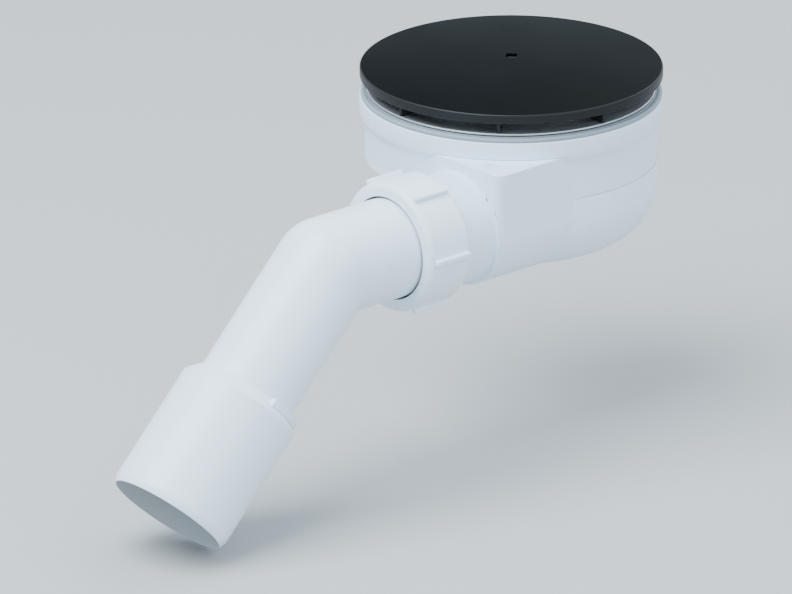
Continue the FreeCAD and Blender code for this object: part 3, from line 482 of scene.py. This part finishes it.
# three grooves run round the underside and a narrow one round the top, near the edge
gasket = {"inner": 48.5, "outer": 59.8, "round": 0.8, "grooves": (51.0, 53.0, 55.0), "grooveDeep": 0.3,
          "grooveHalf": (0.7, 0.4), "topGroove": (57.45, 57.6, 57.95, 58.15), "topDeep": 0.35, "steps": 180}
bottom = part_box("tray_gasket")[0].z / mm
wide, narrow = gasket["grooveHalf"]
grooves = []
for radius in gasket["grooves"]:
    roof = bottom + gasket["grooveDeep"]
    grooves += [(radius - wide, bottom, 0.1), (radius - narrow, roof, 0.1), (radius + narrow, roof, 0.1),
                (radius + wide, bottom, 0.1)]
topInner, floorInner, floorOuter, topOuter = gasket["topGroove"]
ring = spunSolid([(gasket["inner"], bottom, 0.3)] + grooves + [
    (gasket["outer"], bottom, 0.55), (gasket["outer"], 0, gasket["round"]), (topOuter, 0, 0.2),
    (floorOuter, -gasket["topDeep"], 0.12), (floorInner, -gasket["topDeep"], 0.12), (topInner, 0, 0.1),
    (gasket["inner"], 0, 0.3)], gasket["steps"])
finishPiece("gasketRing", ring, "trap_body", "greyRubber", ("tray_gasket",))

thread = {"pitch": 4.0, "stepsPerTurn": 64, "mouth": 0.95, "root": 0.45, "overhang": 0.4,
          "sleeveRadius": 42.8, "sleeveDeep": 0.55, "sleeveRunIn": 2.0, "sleeveTurns": 3.6, "sleeveEdge": 0.3,
          "neckRadius": 23.7, "neckDeep": 0.95, "neckStart": 73.4, "neckTurns": 4.0,
          "nutDeep": 0.55, "nutStart": 1.0, "nutTurns": 3.6}


def screwTool(radius, depth, start, turns, outward):
    # a trapezoid that cuts a thread: from outside into a spigot, or from inside into a bore
    side = 1 if outward else -1
    rootRadius, mouthRadius = radius - side * depth, radius + side * thread["overhang"]
    points = [(rootRadius, -thread["root"]), (mouthRadius, -thread["mouth"]), (mouthRadius, thread["mouth"]),
              (rootRadius, thread["root"])]
    return helix(points, thread["pitch"], turns, thread["stepsPerTurn"], start)


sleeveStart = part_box("clamp_sleeve")[0].z / mm - thread["sleeveRunIn"]
cutter = screwTool(thread["sleeveRadius"], thread["sleeveDeep"], sleeveStart, thread["sleeveTurns"], True)
sleeve = carve(soften(nodeCopy("clamp_sleeve"), thread["sleeveEdge"]), cutter)
finishPiece("clampSleeve", sleeve, "clamp", "greyPlasticAndBoreShade", ("clamp_sleeve",))
print("clamping group done")

# body: collar and bowl, with the thread cut into the outlet neck

# the seam is where the collar ends on the body's deep side; the marks are three plain dashes
body = {"edge": 0.3, "collarRadius": 58.2, "deepRadius": 58.05, "deepRound": 22.0, "depth": 59.6,
        "seam": -27.5, "seamInner": 57.6, "seamSide": 7.0, "seamAbove": 0.4, "seamNear": 0.1,
        "wallNear": 0.06, "markWide": 0.7, "markLong": 5.5, "markHigh": 0.95, "markRound": 0.2,
        "markMiddle": -9.2, "marks": ((48.6, 43.0), (50.4, 43.0), (52.2, 43.0))}


def flushSeam(bm):
    # the deep side's wall is moved out to the collar's radius, less and less towards the underside
    core = body["deepRadius"] - body["deepRound"]
    step = body["collarRadius"] - body["deepRadius"]
    for vert in bm.verts:
        reach = vert.co.xy.length / mm
        fall = max(body["deepRound"] - body["depth"] - vert.co.z / mm, 0.0)
        side = core + sqrt(max(body["deepRound"] ** 2 - fall ** 2, 0.0))
        if vert.co.y < body["seamSide"] * mm or vert.co.z > (body["seam"] + body["seamAbove"]) * mm:
            continue
        if abs(reach - side) < body["wallNear"]:
            vert.co.xy *= 1 + step * (side - core) / body["deepRound"] / reach
        elif body["seamInner"] < reach < side:
            vert.co.xy *= body["collarRadius"] / reach
    return bm


def seamEdge(edge):
    ends = [vert.co for vert in edge.verts]
    return all(abs(end.z / mm - body["seam"]) < body["seamNear"] and end.xy.length / mm > body["seamInner"]
               and end.y > body["seamSide"] * mm for end in ends)


collar = soften(flushSeam(nodeCopy("body_top", 0)), body["edge"], kept=seamEdge)
finishPiece("bodyCollar", collar, "trap_body", "whiteBody", ("body_top",))
bowl = soften(flushSeam(nodeCopy("body_bowl", 0)), body["edge"], kept=seamEdge)
markSize = (body["markWide"], body["markLong"], body["markHigh"])
marks = [bar(markSize, (x, y, body["markMiddle"]), body["markRound"]) for x, y in body["marks"]]
bowl = carve(bowl, merged(marks), "UNION")
cutter = screwTool(thread["neckRadius"], thread["neckDeep"], thread["neckStart"], thread["neckTurns"], True)
bmesh.ops.transform(cutter, matrix=alongOutlet, verts=cutter.verts)
finishPiece("bodyBowl", carve(bowl, cutter), "trap_body", "whiteBody", ("body_bowl",))
print("body done")

# outlet nut with rounded grip ribs and its inside thread

nut = {"bore": 23.9, "radius": 26.0, "length": 20.0, "web": 1.8, "hole": 20.6, "front": 2.4, "ribs": 6,
       "ribWide": 2.4, "ribHigh": 1.9, "ribLong": 17.4, "ribSunk": 1.2, "ribStart": 0.6, "ribRound": 0.55,
       "ribTurn": 90, "boreOver": 0.3, "steps": 120}
shell = spunSolid([
    (nut["bore"], 0, 0.4), (nut["radius"], 0, 0.6), (nut["radius"], nut["length"], nut["front"]),
    (nut["hole"], nut["length"], 0.5), (nut["hole"], nut["length"] - nut["web"], 0.3),
    (nut["bore"], nut["length"] - nut["web"], 0.4)], nut["steps"], 6)
ribSize = (nut["ribHigh"] + nut["ribSunk"], nut["ribWide"], nut["ribLong"])
ribPlace = (nut["radius"] + (nut["ribHigh"] - nut["ribSunk"]) / 2, 0, nut["ribStart"] + nut["ribLong"] / 2)
ribs = [bar(ribSize, ribPlace, nut["ribRound"], nut["ribTurn"] + 360 * count / nut["ribs"])
        for count in range(nut["ribs"])]
shell = carve(shell, merged(ribs), "UNION")
shell = carve(shell, screwTool(nut["bore"], thread["nutDeep"], thread["nutStart"], thread["nutTurns"], False))
nutPiece = finishPiece("outletNut", shell, "nut", "whiteNut", ("outlet_nut",),
                       place=Matrix.Translation((nutLow.x, 0, 0)) @ alongOutlet)
# the faces of the nut's hole take the grey plastic finish as painted shade
paintBoreShade(nutPiece, alongOutlet.translation, Vector((1, 0, 0)), "greyPlasticAndBoreShade", nut["hole"] + nut["boreOver"])
print("nut done")

# pieces whose CAD shape only needs its edges softened

# node, piece, body it rides on, finish, width of the softened edges
softPieces = (
    ("outlet_elbow", "elbowPipe", "elbow", "whitePipe", 0.45),
    ("adapter_sleeve", "adapterSleeve", "adapter", "whitePipe", 0.22),
    ("adapter_retainer", "adapterRetainer", "adapter", "whitePipe", 0.25),
    ("adapter_seal", "adapterSeal", "adapter", "blackRubber", 0.15),
    ("dip_insert", "dipInsert", "insert", "whiteInsert", 0.25),
    ("insert_ring", "insertRing", "insert", "blackRubber", 0.0),
    ("trap_cup", "trapCup", "cup", "whiteInsert", 0.3),
    ("hair_strainer", "hairStrainer", "strainer", "greyPlasticAndBoreShade", 0.25),
    ("flange_seal", "flangeSeal", "flange", "blackRubber", 0.1),
    ("sleeve_seal", "sleeveSeal", "clamp", "blackRubber", 0.12),
    ("outlet_seal", "outletSeal", "trap_body", "blackRubber", 0.2),
    ("slip_washer", "slipWasher", "washer", "naturalPlastic", 0.15),
)
# the second leg leaves the outlet's axis at the bend; the adapter's bore runs along it
leg = {"bendX": 127.1, "tilt": 135.0, "boreReach": 30.0}
bend = Vector((leg["bendX"] * mm, outletAxis.y, outletAxis.z))
legDirection = Matrix.Rotation(radians(leg["tilt"]), 3, "Y") @ Vector((0, 0, 1))
for node, name, rider, finish, width in softPieces:
    copy = nodeCopy(node)
    if width:
        soften(copy, width)
    piece = finishPiece(name, copy, rider, finish, (node,))
    # the adapter's bore faces are painted darker as shade
    if node == "adapter_sleeve":
        paintBoreShade(piece, bend, legDirection, "whitePaintedBoreShade", leg["boreReach"])
print("remaining pieces done")

# floor, light and camera

stage = {"floor": (0.415, 0.41, 0.405), "floorRoughness": 0.9, "floorSize": 30.0, "gap": 0.0005,
         "world": (0.72, 0.87, 1.0), "worldStrength": 1.38}
floorMesh = bmesh.new()
bmesh.ops.create_grid(floorMesh, x_segments=2, y_segments=2, size=stage["floorSize"] / 2)
floor = bpy.data.objects.new("floor", toMesh(floorMesh, "floor"))
bpy.context.scene.collection.objects.link(floor)
floor.location.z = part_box("adapter_sleeve")[0].z - stage["gap"]
paint = bpy.data.materials.new("paleFloor")
paint.use_nodes = True
paint.node_tree.nodes["Principled BSDF"].inputs["Base Color"].default_value = stage["floor"] + (1.0,)
paint.node_tree.nodes["Principled BSDF"].inputs["Roughness"].default_value = stage["floorRoughness"]
floor.data.materials.append(paint)

world = bpy.data.worlds.new("studio")
world.use_nodes = True
world.node_tree.nodes["Background"].inputs["Color"].default_value = stage["world"] + (1.0,)
world.node_tree.nodes["Background"].inputs["Strength"].default_value = stage["worldStrength"]
bpy.context.scene.world = world


def directionOf(azimuth, elevation):
    turn, lift = radians(azimuth), radians(elevation)
    return Vector((sin(turn) * cos(lift), -cos(turn) * cos(lift), sin(lift)))


view = {"azimuth": 138.0, "elevation": 20.5, "target": (53.3, -9.1, -77.5), "lens": 540.0,
        "frameWidth": 314.0, "sensor": 36.0, "clipEnd": 100.0}
target = Vector(view["target"]) * mm
back = directionOf(view["azimuth"], view["elevation"])
cameraData = bpy.data.cameras.new("camera")
cameraData.sensor_width = view["sensor"]
cameraData.lens = view["lens"]
cameraData.clip_end = view["clipEnd"]
camera = bpy.data.objects.new("camera", cameraData)
bpy.context.scene.collection.objects.link(camera)
camera.location = target + back * (view["frameWidth"] / cameraData.sensor_width * view["lens"] * mm)
camera.rotation_euler = back.to_track_quat("Z", "Y").to_euler()
bpy.context.scene.camera = camera

# name, direction it shines from (azimuth, elevation), distance, size, watts, colour
lamps = (
    ("keyLight", 85.0, 62.0, 1.6, 1.2, 60.0, (0.82, 0.93, 1.0)),
    ("fillLight", 190.0, 30.0, 1.8, 1.6, 14.0, (0.80, 0.915, 1.0)),
    ("backLight", 280.0, 40.0, 1.8, 1.4, 15.0, (0.87, 0.945, 1.0)),
)
for name, lampAzimuth, lampElevation, distance, size, watts, colour in lamps:
    lampData = bpy.data.lights.new(name, "AREA")
    lampData.shape = "SQUARE"
    lampData.size = size
    lampData.energy = watts
    lampData.color = colour
    lamp = bpy.data.objects.new(name, lampData)
    bpy.context.scene.collection.objects.link(lamp)
    direction = directionOf(lampAzimuth, lampElevation)
    lamp.location = target + direction * distance
    lamp.rotation_euler = direction.to_track_quat("Z", "Y").to_euler()
print("stage, lights and camera done")
